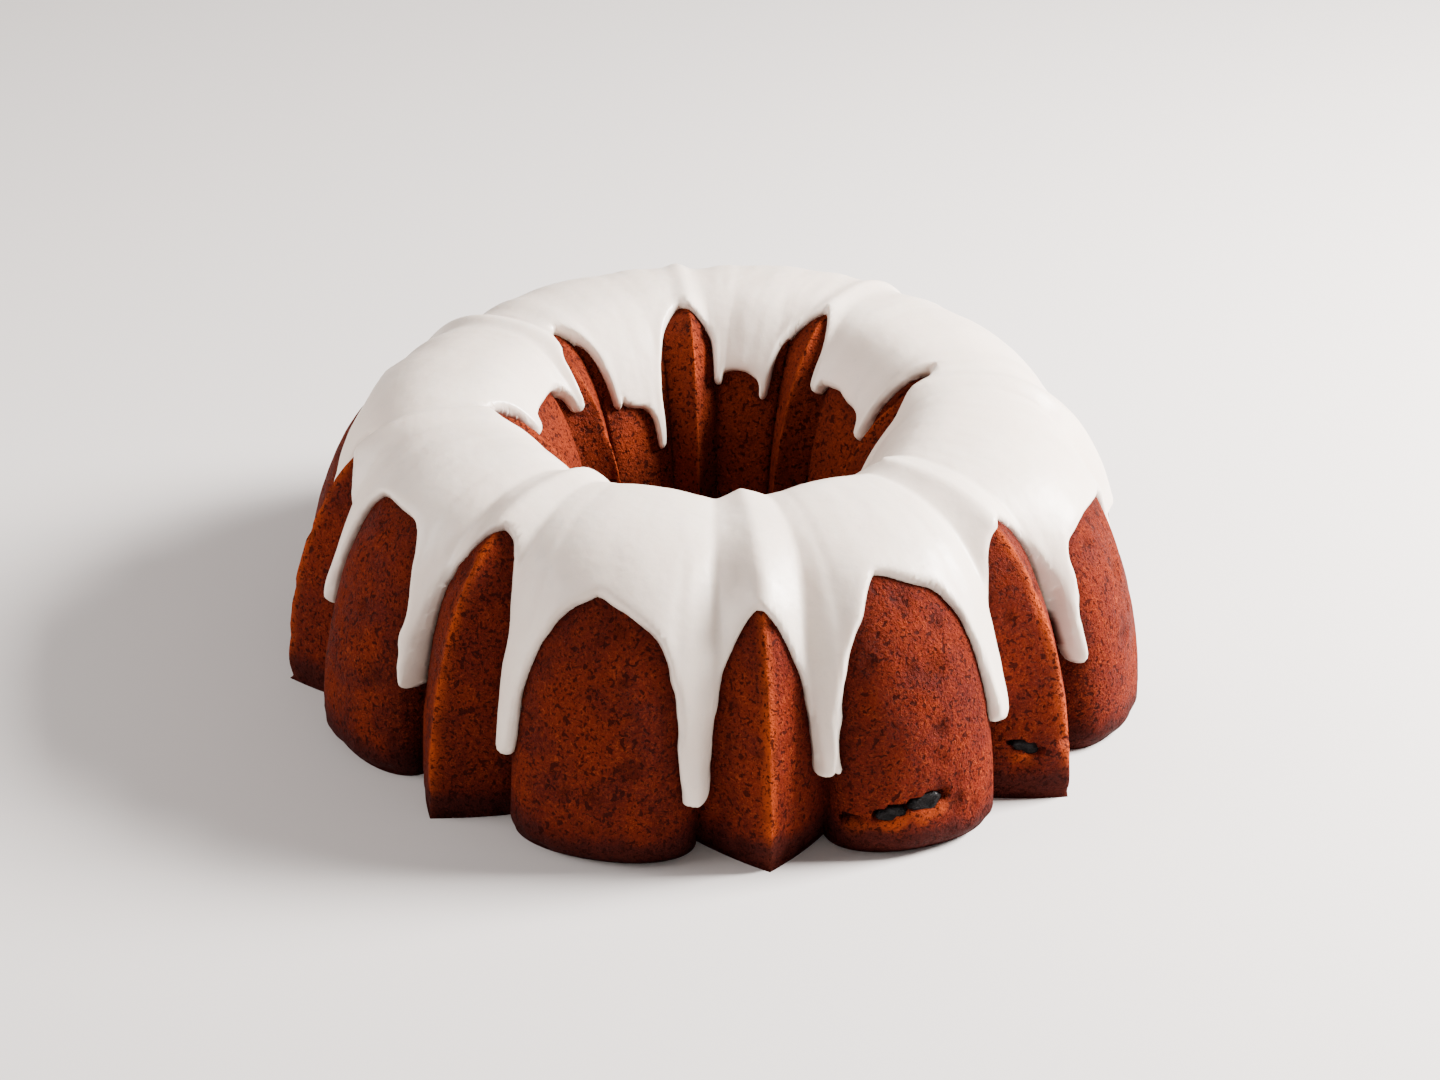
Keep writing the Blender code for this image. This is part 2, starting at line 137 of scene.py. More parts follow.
# The crust's relief, in layers: metres between its waves, mm of depth and the noise's seed.
Layer = namedtuple("Layer", "size depth seed")
LAYERS = (
    Layer(0.034, 0.30, 1),
    Layer(0.0105, 0.16, 2),
    Layer(0.0058, 0.12, 3),
    Layer(0.0031, 0.08, 4),
)
# Round pits: metres between their cells, share of cells that have one, mm of depth and seed.
Pits = namedtuple("Pits", "size share depth seed")
WIDE_PITS = Pits(0.0085, 0.10, 0.8, 5)
SMALL_PITS = Pits(0.0048, 0.16, 0.5, 6)
PIT_MARGIN = 0.2
PIT_SMALLEST = 0.25
PIT_SPREAD = 0.35
# Crumbs torn off the foot and chips along the ridges, the metres in which the torn foot fades
# upwards, how steep both are, and where in a pointed flute its ridge starts.
FOOT_TEARS = Layer(0.0052, 1.0, 7)
RIDGE_CHIPS = Layer(0.0075, 0.8, 8)
FOOT_FADE = 0.0045
TEAR_RISE = 2.2
CHIP_RISE = 1.6
CHIP_RIDGE = 0.86
# Where in a pointed flute the painted highlight along its ridge starts.
HIGHLIGHT_RIDGE = 0.84
# Torn craters round the berries: mm of depth, metres of reach off the face, where their rim ends
# in shares of the slit, and the two layers of noise in that rim.
CRATER_MM = 3.2
CRATER_REACH = 0.006
CRATER_RISE = 0.0007
CRATER_RIM = 1.15
CRATER_SLOPE = 0.35
CRATER_RAGS = (Layer(0.0034, 0.30, 9), Layer(0.0017, 0.20, 10))
# The lighter flesh under each crater: how far below the slit, how long, how ragged and how soft.
FLESH_BELOW = 0.6
FLESH_LENGTH = 0.8
FLESH_RAG = 1.5
FLESH_SLOPE = 0.5
# How dark the wide pits, the small ones and the torn foot are painted, as shade in those hollows.
PIT_SHADE_SHARES = (0.7, 0.8, 0.5)
# The crust is level below this height in metres, and its tints fade in mm from the icing (painted shade
# along its edge), degrees from a groove (painted shade in it) and degrees of turn over the crest.
LEVEL_HEIGHT = 0.004
EDGE_SHADE_MM = 2.6
GROOVE_SHADE_SPAN = 1.9
INSIDE_START = 86.0
INSIDE_SPAN = 8.0

# The icing's grid: bands of turns with metres between rows, columns from a ridge to where they lie
# close, how far past the groove that is, degrees between those, columns over the rest of a round
# flute, and the lines in mm beside its edge.
ICING_BANDS = ((5.0, 68.0, 0.00125), (68.0, 100.0, 0.0030), (100.0, 154.0, 0.0020))
RIDGE_COLUMNS = 6
FINE_START = 5.4
FINE_PAST = 4.2
FINE_COLUMN = 0.32
CREST_COLUMNS = 10
EDGE_LINES = [0.0, 0.3, 0.9, 1.8]
CUT_MARGIN = 0.08

# How far the icing fills the grooves, in degrees: in its runs, and over the top beside each pointed
# flute, with the turn where that is most and how it fades from there. It eases the ridges, too.
FILL_ANGLE = 3.2
TOP_FILL = np.array([2.0, 3.2, 5.5, 6.5, 6.5, 6.0, 4.8, 3.2])
FILL_TURN = 78.0
FILL_SPREAD = 35.0
FILL_RISE = 1.15
RIDGE_EASE = 0.6
EASE_STEPS = 5

# How thick the icing is, in mm: its coat, the rounding of its edge and how far it is let in.
COAT_MM = 2.3
COAT_SHARE = 0.84
SWELLS = (Layer(0.021, 0.08, 21), Layer(0.009, 0.04, 22))
STREAK_SHARE = 0.09
ROUND_MM = 2.4
RUN_ROUND_MM = 0.8
UNDER_MM = 0.5
# More of it: a bead some mm from the edge, the runs within degrees of a groove and below a turn,
# and their tips, within some degrees of turn of the edge.
BEAD_AT = 3.4
BEAD_HALF = 2.2
BEAD_MM = 0.12
RUN_REACH = 2.4
RUN_TURN = 84.0
RUN_SPAN = 20.0
RUN_MM = 0.55
TIP_TURN = 4.5
TIP_SPAN = 5.0
TIP_MM = 0.85
# Less of it: above a height in metres the coat is no thicker than plain, and beside the ridges'
# left side, in degrees, it runs thin, and its grey thin tint there is painted shade away from the key
# light.
TOP_HEIGHT = 0.070
TOP_SPAN = 0.014
EXTRA_MM = 1.5
CREST_HEIGHT = 0.055
CREST_SPAN = 0.02
THIN_ASIDE = 3.6
THIN_HALF = 4.6
THIN_SHARE = 0.40
# Streaks along the flow: how long they are over the ring, and their two layers on a unit circle.
STREAK_STRETCH = 0.55
STREAKS = (Layer(0.085, 0.65, 23), Layer(0.034, 0.35, 24))

# Berries: angle, turn, length, width, depth and slope of the long axis.
Berry = namedtuple("Berry", "angle turn length width depth slope")
BERRIES = (
    Berry(15.9, 9.6, 0.0085, 0.0052, 0.0036, 12.0),
    Berry(20.6, 11.3, 0.0100, 0.0060, 0.0040, 8.0),
    Berry(40.5, 11.6, 0.0085, 0.0050, 0.0034, -20.0),
    Berry(112.0, 24.0, 0.0095, 0.0065, 0.0040, 25.0),
    Berry(201.0, 14.0, 0.0100, 0.0060, 0.0038, -10.0),
    Berry(246.0, 33.0, 0.0080, 0.0058, 0.0036, 35.0),
)
# Places where the crust is torn with no berry left in it, in the same terms; their craters too are darkened
# as painted shade.
TEARS = (
    Berry(11.2, 7.5, 0.0060, 0.0044, 0.0030, 15.0),
    Berry(44.8, 12.0, 0.0034, 0.0040, 0.0030, 0.0),
)
# How far a berry's middle lies under the plain crust and how far it is let down from there, how
# much longer and narrower than it the slit is, its grid, its lumps, and how its face falls in.
BERRY_SINK = 0.0012
BERRY_DROP = 0.0009
SLIT_LENGTH = 1.25
SLIT_WIDTH = 0.50
BERRY_COLUMNS = 28
BERRY_ROWS = 15
BERRY_LUMPS = Layer(0.42, 0.10, 31)
BERRY_WRINKLES = Layer(0.2, 0.05, 32)
BERRY_APART = 3.0
DIP_DEPTH = 0.55
DIP_HALF = 0.55

# Colours, all linear.
CRUST_DARK = (0.070, 0.0070, 0.0038, 1.0)
CRUST_LIGHT = (0.130, 0.0136, 0.0040, 1.0)
CRUST_RED = (0.100, 0.0088, 0.0036, 1.0)
# Orange: painted highlight along the pointed ridges, and the torn flesh's own colour under the craters.
CRUST_HIGHLIGHT_AND_FLESH = (0.370, 0.0520, 0.0085, 1.0)
# Painted shade in the grooves.
CRUST_GROOVE_SHADE = (0.040, 0.0045, 0.0030, 1.0)
CRUST_INSIDE = (0.155, 0.0210, 0.0055, 1.0)
CRUST_FOOT = (0.038, 0.0068, 0.0054, 1.0)
CRUST_CRUMB = (0.250, 0.0370, 0.0100, 1.0)
# Painted shade in the pits and pores.
CRUST_PIT_SHADE = (0.020, 0.0024, 0.0014, 1.0)
# Painted shade inside the torn craters.
CRUST_CRATER_SHADE = (0.010, 0.0020, 0.0018, 1.0)
# Painted shade on the crust along the icing's edge.
CRUST_EDGE_SHADE = (0.036, 0.0042, 0.0024, 1.0)
ICING_WHITE = (0.93, 0.805, 0.700, 1.0)
ICING_COOL = (0.88, 0.745, 0.640, 1.0)
# Grey of thin icing: the crust showing through, and painted shade left of the crests.
ICING_THIN_AND_SHADE = (0.36, 0.255, 0.215, 1.0)
ICING_SPECK = (0.55, 0.50, 0.45, 1.0)
BERRY_DARK = (0.003, 0.0022, 0.0025, 1.0)
BERRY_BLOOM = (0.012, 0.0115, 0.0125, 1.0)
FLOOR_COLOUR = (0.70, 0.66, 0.64, 1.0)
FLOOR_HALF = 3.0
WORLD_COLOUR = (1.0, 0.95, 0.93, 1.0)
WORLD_STRENGTH = 0.34
LIGHT_AIM = (0.0, 0.0, 0.04)

# Textures: waves a metre in each noise, and the crumb grain's four in shares of its scale.
MOTTLE_SCALE = 75.0
CLOUD_SCALE = 22.0
RAG_SCALE = 130.0
PATCH_SCALE = 38.0
BLOOM_SCALE = 420.0
GRAIN_SCALES = (3.0, 2.5, 6.0, 6.4)

# The crumb grain: how soft the pores' rims are, how strong and deep pores and folds are.
PORE_RIM = 0.06
SMALL_PORES = 0.8
PORE_DEPTH = 0.6
NET_HALF = 0.040
NET_RISE = 0.25

# How much of each tint the crust and the icing take at most, and the foot's rag in metres.
CLOUD_SHARE = 0.55
# How dark the painted shade in the grooves is at most.
GROOVE_SHADE_SHARE = 0.62
INSIDE_SHARE = 0.55
FLESH_SHARE = 0.6
SPECK_SHARE = 0.35
NET_SHARE = 0.8
FOOT_SHARE = 0.90
# How dark the painted shade in the pores and pits is at most.
PORE_SHADE_SHARE = 0.84
PIT_SHADE_SHARE = 0.60
# How dark the painted shade inside the craters is at most.
CRATER_SHADE_SHARE = 0.90
# How dark the painted shade along the icing's edge is at most.
EDGE_SHADE_SHARE = 0.60
ICING_SPECK_SHARE = 0.10
RAG_HEIGHT = 0.010

# The camera, fitted to the outlines in the photograph.
CAMERA_LENS = 95.0
CAMERA_PLACE = (-0.13198, -1.02007, 0.57479)
CAMERA_TURNS = (62.3688, -0.5050, -7.2356)


def unit(values):
    """Values kept from 0 to 1."""
    return np.clip(values, 0.0, 1.0)


def between_flutes(values, angle):
    """Ease from the value of one pointed flute to that of the next."""
    place = np.mod(angle / PITCH, FLUTES)
    left = np.floor(place).astype(int) % FLUTES
    share = place - np.floor(place)
    ease = share * share * (3.0 - 2.0 * share)
    return values[left] * (1.0 - ease) + values[(left + 1) % FLUTES] * ease


def point_offset(angle):
    """Signed degrees from the ridge of the nearest pointed flute."""
    return np.mod(angle + PITCH / 2.0, PITCH) - PITCH / 2.0


def flute_shares(angle):
    """How far a place belongs to a pointed flute's edge and to a round flute, 0 in the groove.

    Point: a straight tent. Round: the superellipse 1 - |across|^p to the power 1 / p.
    """
    offset = np.abs(point_offset(angle))
    point = unit(1.0 - offset / GROOVE_ANGLE)
    across = unit((PITCH / 2.0 - offset) / (PITCH / 2.0 - GROOVE_ANGLE))
    round_share = (1.0 - across ** ROUND_POWER) ** (1.0 / ROUND_POWER)
    return point, np.where(offset > GROOVE_ANGLE, round_share, 0.0)


def groove_offset(angle):
    """Signed degrees from the nearest groove, positive towards the round flute."""
    return np.abs(point_offset(angle)) - GROOVE_ANGLE


def section_curve(section, turn):
    """Radius and height on a section: a superellipse quarter outside and another one inside."""
    across = np.cos(np.radians(turn))
    up = np.abs(np.sin(np.radians(turn)))
    power = np.where(across >= 0.0, section.outer_power, section.inner_power)
    half = np.where(across >= 0.0, section.outer - section.crest, section.crest - section.hole)
    height = section.height * up
    foot = section.foot * unit(1.0 - height / FOOT_HEIGHT) ** 2
    radius = section.crest + np.sign(across) * (half * np.abs(across) ** (2.0 / power) - foot)
    return radius, height


def ring_section(angle, turn, shares):
    """Radius and height of the ring where the flutes have the given shares."""
    groove = section_curve(GROOVE, turn)
    point = section_curve(POINT, turn)
    lobe = section_curve(ROUND, turn)
    flute = np.floor(np.mod(angle / PITCH, FLUTES)).astype(int) % FLUTES
    reach = 1.0 + (ROUND_REACH[flute] - 1.0) * unit((lobe[0] - FLARE_START) / FLARE_REACH)
    radius = groove[0] + shares[0] * (point[0] - groove[0]) + shares[1] * (lobe[0] * reach - groove[0])
    height = groove[1] + shares[0] * (point[1] - groove[1]) + shares[1] * (lobe[1] - groove[1])
    flare = unit((radius - FLARE_START) / FLARE_REACH)
    radius = radius * (1.0 + (between_flutes(POINT_REACH, angle) - 1.0) * flare)
    return radius, height * between_flutes(POINT_HEIGHT, angle)


def outward(angle, turn, shares):
    """Outward direction of a section, from the slope between two near turns."""
    before = ring_section(angle, turn - STEP, shares)
    after = ring_section(angle, turn + STEP, shares)
    along = after[0] - before[0]
    rise = after[1] - before[1]
    length = np.maximum(np.hypot(along, rise), 1e-9)
    return rise / length, -along / length


def place(angle, radius, height):
    """Points in space from the radius and the height at an angle."""
    real = np.radians(angle + between_flutes(POINT_TURN, angle))
    return np.stack([radius * np.sin(real), -radius * np.cos(real), height], axis=-1)


def run_angles(edge):
    """Angles of the grooves, from before the first to past the last, and of the runs beside them."""
    flute = np.arange(-1, FLUTES + 1)
    groove = (flute[:, None] * PITCH + np.array([-GROOVE_ANGLE, GROOVE_ANGLE])).ravel()
    return groove, groove + edge.shifts[flute % FLUTES].ravel()


def edge_turn(angle, edge):
    """Turn at which the icing ends: arches over the bare flutes between runs with round ends.

    Angles are first stretched so that each run, which may hang beside its groove, lies in it. From a
    bare top, which may lean, the edge falls a little in a straight line, then by a power of the way
    to the run's side, and by a much higher one close to it. Across a run it is half an ellipse.
    """
    groove, real = run_angles(edge)
    angle = np.interp(np.mod(angle, 360.0), real, groove)
    pitch_place = np.mod(angle + GROOVE_ANGLE, PITCH) - GROOVE_ANGLE
    flute = np.round((angle - pitch_place) / PITCH).astype(int) % FLUTES
    kind = np.where(pitch_place < GROOVE_ANGLE, 0, 1)
    half = np.where(kind == 0, GROOVE_ANGLE, PITCH / 2.0 - GROOVE_ANGLE)
    offset = pitch_place - kind * PITCH / 2.0
    top_at = edge.lean[flute, kind] * (half - RUN_HALF)
    rightward = offset > top_at
    left = (flute, kind)
    right = ((flute + kind) % FLUTES, 1 - kind)
    run = np.where(rightward, edge.runs[right], edge.runs[left])
    run_half = np.where(rightward, edge.halves[right], edge.halves[left])
    power = np.where(rightward, edge.right_power[flute, kind], edge.left_power[flute, kind])
    reach = half - run_half - np.where(rightward, top_at, -top_at)
    way = unit(np.abs(offset - top_at) / reach)
    peak = edge.peaks[flute, kind]
    fall = peak * way + (1.0 - peak - SIDE_SHARE) * way ** power + SIDE_SHARE * way ** SIDE_POWER
    top = edge.bare[flute, kind]
    arch = top - fall * (top - run - RUN_END)
    across = unit((half - np.abs(offset)) / run_half)
    nearer = np.where(offset > 0.0, edge.runs[right], edge.runs[left])
    tip = nearer + RUN_END * (1.0 - np.sqrt(1.0 - across ** 2))
    return np.where(way < 1.0, arch, tip)


def lattice(cell, seed):
    """A repeatable number from 0 to 1 for each whole-number cell, mixed from large primes."""
    mixed = seed * SEED_PRIME
    for axis, prime in enumerate(CELL_PRIMES):
        mixed = mixed ^ cell[..., axis] * prime
    mixed = (mixed ^ (mixed >> 13)) * MIX_PRIME & 0x7FFFFFFF
    return ((mixed ^ (mixed >> 15)) & 0xFFFF) / 65535.0


def value_noise(points, size, seed):
    """Smooth noise from -1 to 1: numbers on a lattice of that cell size, eased between 8 corners."""
    scaled = points / size
    base = np.floor(scaled).astype(np.int64)
    ease = scaled - base
    ease = ease * ease * (3.0 - 2.0 * ease)
    total = np.zeros(points.shape[:-1])
    for corner in np.ndindex(2, 2, 2):
        weight = np.prod(np.where(np.array(corner) == 1, ease, 1.0 - ease), axis=-1)
        total += weight * lattice(base + np.array(corner), seed)
    return 2.0 * total - 1.0


def layered_noise(points, layer):
    """Value noise of a layer's size and seed, from minus its depth to its depth."""
    return layer.depth * value_noise(points, layer.size, layer.seed)


def pits(points, kind):
    """Round pits, 1 deep in the middle and 0 at the rim: one for a share of the lattice's cells.

    A pit's middle keeps clear of its cell's walls, and its radius is a random share of the cell.
    """
    seed = kind.seed
    scaled = points / kind.size
    base = np.floor(scaled).astype(np.int64)
    deepest = np.zeros(points.shape[:-1])
    for step in np.ndindex(3, 3, 3):
        cell = base + np.array(step) - 1
        random = np.stack([lattice(cell, seed + axis) for axis in range(3)], axis=-1)
        middle = PIT_MARGIN + (1.0 - 2.0 * PIT_MARGIN) * random
        radius = PIT_SMALLEST + PIT_SPREAD * lattice(cell, seed + 4)
        away = np.linalg.norm(scaled - cell - middle, axis=-1) / radius
        dug = lattice(cell, seed + 5) < kind.share
        deepest = np.maximum(deepest, np.where(dug, unit(1.0 - away ** 2), 0.0))
    return deepest


def curve_length(radius, height):
    """Length along a section from its start to each of its points."""
    return np.concatenate(([0.0], np.cumsum(np.hypot(np.diff(radius), np.diff(height)))))


def even_turns(start, end, spacing):
    """Turns from start to end that lie evenly along a round flute's section."""
    fine = np.linspace(start, end, FINE_STEPS)
    length = curve_length(*section_curve(ROUND, fine))
    steps = max(2, int(round(length[-1] / spacing)))
    return np.interp(np.linspace(0.0, length[-1], steps + 1), length, fine)


def add_object(name, data):
    """A new object in the scene."""
    made = bpy.data.objects.new(name, data)
    bpy.context.scene.collection.objects.link(made)
    return made


def mesh_piece(name, points, faces, material, attributes=()):
    """A shaded-smooth mesh object on the root body, from arrays of points and of equal-sided faces."""
    mesh = bpy.data.meshes.new(name)
    mesh.from_pydata(points.reshape(-1, 3).tolist(), [], faces.tolist())
    for key, values in attributes:
        layer = mesh.attributes.new(key, "FLOAT", "POINT")
        layer.data.foreach_set("value", np.ascontiguousarray(values, dtype=np.float32).ravel())
    mesh.shade_smooth()
    mesh.materials.append(material)
    piece = add_object(name, mesh)
    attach(piece, "root")
    return piece


def grid_faces(columns, rows, wrap_rows):
    """Quads of a grid closed round its columns, and round its rows if asked."""
    i = np.arange(columns)[:, None]
    j = np.arange(rows if wrap_rows else rows - 1)[None, :]
    right = (i + 1) % columns
    above = (j + 1) % rows
    corners = [i * rows + j, right * rows + j, right * rows + above, i * rows + above]
    return np.stack(corners, axis=-1).reshape(-1, 4)


def all_round(half):
    """Angles round the ring, from those in half a pitch: mirrored, then repeated."""
    pitch = np.concatenate((half, [PITCH / 2.0], PITCH - half[:0:-1]))
    return (np.arange(FLUTES)[:, None] * PITCH + pitch[None, :]).ravel()


def crust_columns():
    """Angles round the ring, exact on each ridge, groove and round crest, even along the flutes."""
    point = np.linspace(0.0, GROOVE_ANGLE, POINT_COLUMNS + 1)[:-1]
    fine = np.linspace(GROOVE_ANGLE, PITCH / 2.0, FINE_STEPS)
    line = place(fine, *ring_section(fine, np.full(FINE_STEPS, COLUMN_TURN), flute_shares(fine)))
    length = np.concatenate(([0.0], np.cumsum(np.linalg.norm(np.diff(line, axis=0), axis=1))))
    lobe = np.interp(np.linspace(0.0, length[-1], LOBE_COLUMNS + 1), length, fine)[:-1]
    return all_round(np.concatenate((point, lobe)))


FINE_TURNS = np.linspace(0.0, 180.0, 1801)
ARC_MM = curve_length(*section_curve(ROUND, FINE_TURNS)) / MM


def arc_mm(turn):
    """Length along a round flute's section from the outer base, in mm."""
    return np.interp(turn, FINE_TURNS, ARC_MM)


def edge_gap(angle, turn, edge, arc):
    """Signed mm from a place to the icing's edge, positive on the icing.

    The edge is sampled at short steps of angle around the place, and the distance to the nearest of
    the straights between the samples is kept. Angles count in mm by the radius there, and turns by
    the length along the section.
    """
    radius = ring_section(angle, np.full_like(angle, GAP_TURN), flute_shares(angle))[0]
    mm_a_degree = np.radians(radius / MM)
    height = arc(turn)
    nearest = np.full(angle.shape, np.inf)
    before = None
    for offset in np.arange(-GAP_REACH, GAP_REACH + GAP_STEP / 2.0, GAP_STEP):
        across = offset * mm_a_degree
        up = arc(edge_turn(angle + offset, edge)) - height
        if before is not None:
            run_x = across - before[0]
            run_y = up - before[1]
            span = run_x ** 2 + run_y ** 2
            share = unit(-(before[0] * run_x + before[1] * run_y) / span)
            nearest = np.minimum(nearest, np.hypot(before[0] + share * run_x, before[1] + share * run_y))
        before = (across, up)
    return np.where(turn > edge_turn(angle, edge), nearest, -nearest)


def icing_gap(angle, turn):
    """Signed mm to the icing's nearer edge, outside or in the hole, with a slow waver in the edge."""
    line = place(angle, *ring_section(angle, turn, flute_shares(angle)))
    angle = (angle + EDGE_WAVER_ANGLE * value_noise(line, EDGE_WAVER_SIZE, 11)
             + EDGE_RAG_ANGLE * value_noise(line, EDGE_RAG_SIZE, 13))
    turn = (turn + EDGE_WAVER_TURN * value_noise(line, EDGE_WAVER_SIZE, 12)
            + EDGE_RAG_TURN * value_noise(line, EDGE_RAG_SIZE, 14))
    outer = np.full(angle.shape, FAR_GAP)
    near = turn < OUTER_END
    outer[near] = edge_gap(angle[near], turn[near], OUTER_EDGE, arc_mm)
    inner = np.full(angle.shape, FAR_GAP)
    near = turn > INNER_START
    inner[near] = edge_gap(angle[near], 180.0 - turn[near], INNER_EDGE, inner_arc_mm)
    return np.minimum(outer, inner)


def inner_arc_mm(turn):
    """Length along a round flute's section from the inner base, in mm."""
    return ARC_MM[-1] - arc_mm(180.0 - turn)


def berry_frames(berries):
    """Centre and along, across and outward axes of each berry, on the crust it is baked into."""
    frames = []
    for berry in berries:
        angle = berry.angle + STEP * np.array([0.0, -1.0, 1.0, 0.0, 0.0])
        turn = berry.turn + STEP * np.array([0.0, 0.0, 0.0, -1.0, 1.0])
        spots = place(angle, *ring_section(angle, turn, flute_shares(angle)))
        sideways = spots[2] - spots[1]
        upward = spots[4] - spots[3]
        out = np.cross(sideways, upward)
        out = out / np.linalg.norm(out)
        sideways = sideways / np.linalg.norm(sideways)
        rise = np.cross(out, sideways)
        slope = math.radians(berry.slope)
        along = math.cos(slope) * sideways + math.sin(slope) * rise
        frames.append((spots[0] - BERRY_SINK * out, np.stack([along, np.cross(out, along), out])))
    return frames


def crust_relief(angle, turn, line):
    """Depth of the crust's surface under the plain form in mm, the painted shade of its pits, its tears and
    torn flesh.

    The sum of four layers of value noise, each added to its depth so that nothing is raised, round
    pits of two sizes, chips along the sharp ridges, crumbs off the foot and the torn craters round
    the berries. A crater is deep where the distance along, across and off its slit is small.
    """
    lumps = sum(layered_noise(line, layer) for layer in LAYERS) + sum(layer.depth for layer in LAYERS)
    wide = pits(line, WIDE_PITS)
    small = pits(line, SMALL_PITS)
    low = np.exp(-line[..., 2] / FOOT_FADE)
    torn = unit(TEAR_RISE * value_noise(line, FOOT_TEARS.size, FOOT_TEARS.seed)) * low
    on_ridge = unit((flute_shares(angle)[0] - CHIP_RIDGE) / (1.0 - CHIP_RIDGE))
    chips = on_ridge * unit(CHIP_RISE * value_noise(line, RIDGE_CHIPS.size, RIDGE_CHIPS.seed))
    crater = np.zeros(angle.shape)
    flesh = np.zeros(angle.shape)
    rag = sum(layered_noise(line, layer) for layer in CRATER_RAGS)
    for berry, (centre, axes) in zip(BERRIES + TEARS, berry_frames(BERRIES + TEARS)):
        local = (line - centre) @ axes.T
        along = 2.0 * local[..., 0] / (berry.length * SLIT_LENGTH)
        across = 2.0 * (local[..., 1] - CRATER_RISE) / (berry.width * SLIT_WIDTH)
        off = local[..., 2] / CRATER_REACH
        away = np.sqrt(along ** 2 + across ** 2 + off ** 2) + rag
        crater = np.maximum(crater, unit((CRATER_RIM - away) / CRATER_SLOPE))
        below = 2.0 * (local[..., 1] + FLESH_BELOW * berry.width) / berry.width
        near = np.sqrt((FLESH_LENGTH * along) ** 2 + below ** 2 + off ** 2) + FLESH_RAG * rag
        flesh = np.maximum(flesh, unit((1.0 - near) / FLESH_SLOPE))
    depth = (lumps + WIDE_PITS.depth * wide + SMALL_PITS.depth * small + FOOT_TEARS.depth * torn
             + RIDGE_CHIPS.depth * chips + CRATER_MM * crater * (2.0 - crater))
    # Painted shade in the pits and the torn foot, by how deep they are.
    pit_shade = PIT_SHADE_SHARES[0] * wide + PIT_SHADE_SHARES[1] * small + PIT_SHADE_SHARES[2] * torn
    return depth, unit(pit_shade), crater, flesh


def crust_points(angle, turn):
    """Places on the crust: the ring's section pulled inwards by the relief, flat where it stands."""
    shares = flute_shares(angle)
    radius, height = ring_section(angle, turn, shares)
    line = place(angle, radius, height)
    depth, pit_shade, crater, flesh = crust_relief(angle, turn, line)
    out = outward(angle, turn, shares)
    level = unit(height / LEVEL_HEIGHT)
    points = place(angle, radius - MM * depth * out[0], height - MM * depth * out[1] * level)
    return points, pit_shade, crater, flesh


def make_crust(material):
    """The baked crust: a grid of columns round the ring and rows over it, closed under the foot.

    Rows lie evenly along the section, coarse where the icing hides them, and a few more go straight
    across the base from the inner foot to the outer one.
    """
    angles = crust_columns()
    rows = np.concatenate((even_turns(0.0, HIDDEN_START, CRUST_ROW),
                           np.arange(HIDDEN_START + HIDDEN_STEP, HIDDEN_END, HIDDEN_STEP),
                           even_turns(HIDDEN_END, 180.0, INNER_ROW)))
    angle, turn = np.meshgrid(angles, rows, indexing="ij")
    points, pit_shade, crater, flesh = crust_points(angle, turn)
    gap = icing_gap(angle, turn)
    share = np.linspace(0.0, 1.0, BASE_ROWS + 2)[1:-1][None, :, None]
    base = points[:, -1:] * (1.0 - share) + points[:, :1] * share
    points = np.concatenate((points, base), axis=1)
    # Painted highlight along the pointed ridges.
    on_ridge = unit((flute_shares(angle)[0] - HIGHLIGHT_RIDGE) / (1.0 - HIGHLIGHT_RIDGE))
    inside = unit((turn - INSIDE_START) / INSIDE_SPAN)
    plain = np.zeros((len(angles), BASE_ROWS))
    attributes = [
        ("ridge", on_ridge ** 1.5),
        # Painted shade in the grooves, fading with the degrees from each.
        ("groove", np.exp(-(groove_offset(angle) / GROOVE_SHADE_SPAN) ** 2)),
        # Painted shade in the pits.
        ("pit_shade", pit_shade),
        # Painted shade inside the torn craters.
        ("torn", crater),
        ("flesh", flesh),
        # Painted shade along the icing's edge, fading with the distance to it.
        ("edge_shade", np.exp(-np.abs(gap) / EDGE_SHADE_MM)),
        ("inside", inside),
    ]
    attributes = [(key, np.concatenate((values, plain), axis=1)) for key, values in attributes]
    faces = grid_faces(len(angles), points.shape[1], True)
    crust = mesh_piece("crust", points, faces, material, attributes)
    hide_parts("sponge")
    return crust


def split_faces(params, faces, level):
    """Cut triangles where the third parameter passes a level, adding points along their edges.

    A triangle with one corner alone on its side becomes three: the tip and two beyond the cut.
    """
    above = params[:, 2] > level
    count = above[faces].sum(axis=1)
    mixed = (count == 1) | (count == 2)
    whole = faces[~mixed]
    cut = faces[mixed]
    lone = np.where(count[mixed, None] == 1, above[cut], ~above[cut])
    first = np.argmax(lone, axis=1)
    order = (first[:, None] + np.arange(3)[None, :]) % 3
    cut = np.take_along_axis(cut, order, axis=1)
    pairs = np.sort(np.concatenate((cut[:, [0, 1]], cut[:, [0, 2]])), axis=1)
    edges, where = np.unique(pairs, axis=0, return_inverse=True)
    start = params[edges[:, 0]]
    end = params[edges[:, 1]]
    way = (level - start[:, 2]) / (end[:, 2] - start[:, 2])
    way = np.clip(way, CUT_MARGIN, 1.0 - CUT_MARGIN)[:, None]
    round_way = np.mod(end[:, :1] - start[:, :1] + 180.0, 360.0) - 180.0
    added = np.concatenate((start[:, :1] + way * round_way,
                            start[:, 1:2] + way * (end[:, 1:2] - start[:, 1:2]),
                            np.full((len(edges), 1), level)), axis=1)
    where = where.ravel() + len(params)
    on_left = where[:len(cut)]
    on_right = where[len(cut):]
    made = [np.stack([cut[:, 0], on_left, on_right], axis=1),
            np.stack([on_left, cut[:, 1], cut[:, 2]], axis=1),
            np.stack([on_left, cut[:, 2], on_right], axis=1)]
    return np.concatenate((params, added)), np.concatenate([whole] + made)


